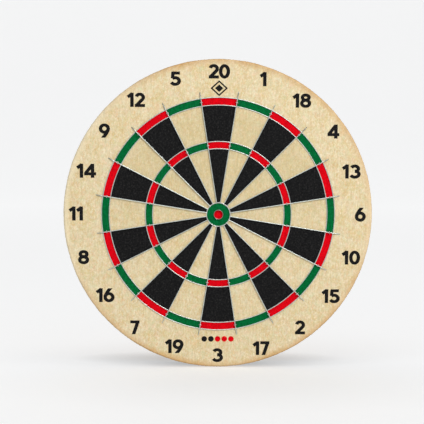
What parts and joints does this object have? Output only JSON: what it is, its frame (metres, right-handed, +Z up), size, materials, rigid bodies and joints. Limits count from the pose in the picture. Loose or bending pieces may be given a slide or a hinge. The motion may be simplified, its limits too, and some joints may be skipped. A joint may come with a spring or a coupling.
{
  "type": "dartboard",
  "caption": "Round steel-tip dartboard: compressed-fibre face with printed segments and numbers, stapled wire spider, raised bull ring, steel rim band, chipboard back and rubber feet.",
  "frame": {"origin": "centre of the backing board's rear face, on the board's axis, at the mouth of the hanging screw's hole", "axes": "-Y is out of the face towards the thrower, +Y towards the wall, +Z up through the 20 segment, +X to the right as the thrower sees it"},
  "size_m": [0.4499, 0.0513, 0.45],
  "materials": {
    "plant_fibre": "matte",
    "black_ink": "matte",
    "red_ink": "matte",
    "green_ink": "matte",
    "chipboard": "matte",
    "band_steel": "satin",
    "rivet_steel": "satin",
    "galvanised_wire": "satin",
    "ring_steel": "satin",
    "staple_wire": "satin",
    "foot_rubber": "matte",
    "zinc_plated_screws": "satin"
  },
  "bodies": {
    "root": {"fibre_core": "plant_fibre", "black_print": "black_ink", "red_print": "red_ink", "green_print": "green_ink", "back_board": "chipboard", "rim_band": "band_steel", "band_joint_plate": "band_steel", "band_rivets": "rivet_steel", "radial_wire_01": "galvanised_wire", "radial_wire_02": "galvanised_wire", "radial_wire_03": "galvanised_wire", "radial_wire_04": "galvanised_wire", "radial_wire_05": "galvanised_wire", "radial_wire_06": "galvanised_wire", "radial_wire_07": "galvanised_wire", "radial_wire_08": "galvanised_wire", "radial_wire_09": "galvanised_wire", "radial_wire_10": "galvanised_wire", "radial_wire_11": "galvanised_wire", "radial_wire_12": "galvanised_wire", "radial_wire_13": "galvanised_wire", "radial_wire_14": "galvanised_wire", "radial_wire_15": "galvanised_wire", "radial_wire_16": "galvanised_wire", "radial_wire_17": "galvanised_wire", "radial_wire_18": "galvanised_wire", "radial_wire_19": "galvanised_wire", "radial_wire_20": "galvanised_wire", "double_outer_wire": "galvanised_wire", "double_inner_wire": "galvanised_wire", "treble_outer_wire": "galvanised_wire", "treble_inner_wire": "galvanised_wire", "outer_bull_wire": "galvanised_wire", "inner_bull_ring": "ring_steel", "double_ring_staples": "staple_wire", "treble_ring_staples": "staple_wire", "top_foot": "foot_rubber", "right_foot": "foot_rubber", "left_foot": "foot_rubber", "foot_screws": "zinc_plated_screws"}
  },
  "joints": []
}
